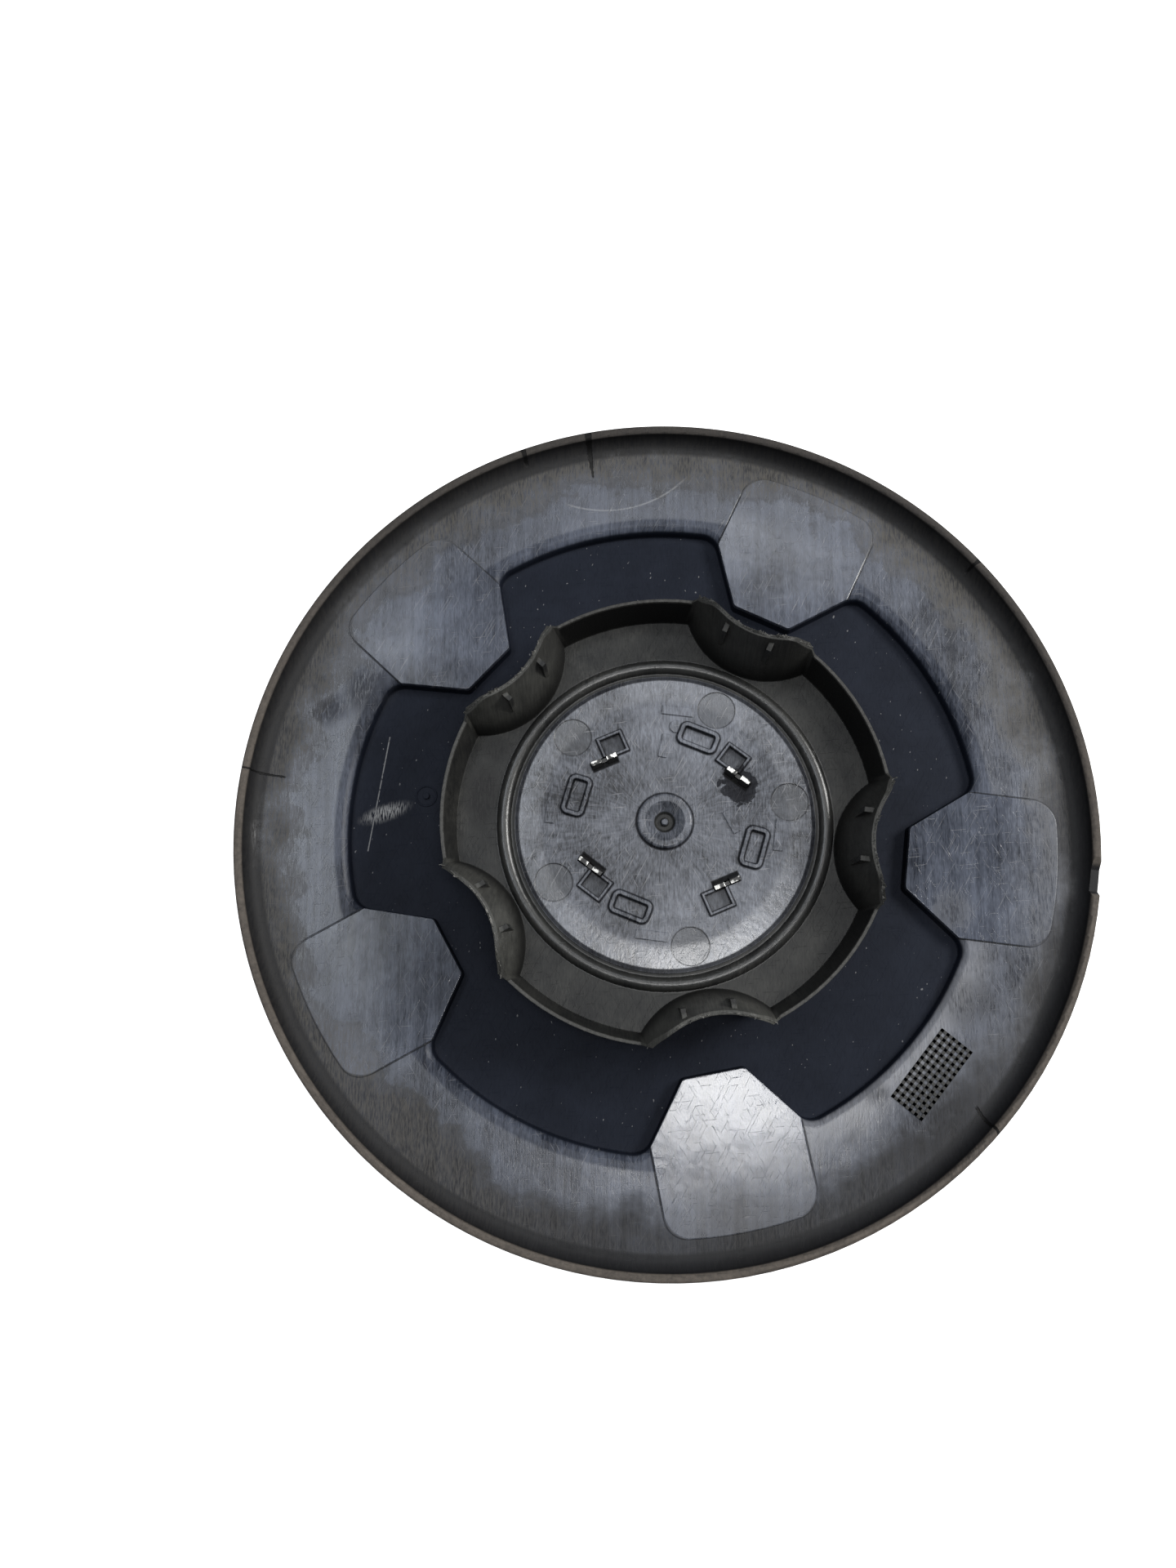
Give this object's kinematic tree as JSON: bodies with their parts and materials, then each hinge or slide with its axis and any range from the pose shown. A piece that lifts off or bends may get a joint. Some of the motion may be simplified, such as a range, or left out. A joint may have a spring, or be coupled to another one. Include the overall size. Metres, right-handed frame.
{
  "type": "wheel bolt cover",
  "caption": "Round moulded wheel centre cap lying face down, with a scalloped spring crown that grips the wheel bolts, a sunken lobed ring and a snapped-in centre insert.",
  "frame": {"origin": "on the axis, in the plane of the raised front plateau on which the cap lies", "axes": "+Z along the axis from the front face to the wheel side, +X through the first bolt scallop"},
  "size_m": [0.232, 0.232, 0.0355],
  "materials": {
    "black_plastic": "worn satin black moulding with dust and scratches",
    "plated_insert": "bright plated plastic"
  },
  "bodies": {
    "root": {"cover": "black_plastic", "centre_insert": "plated_insert"}
  },
  "joints": []
}
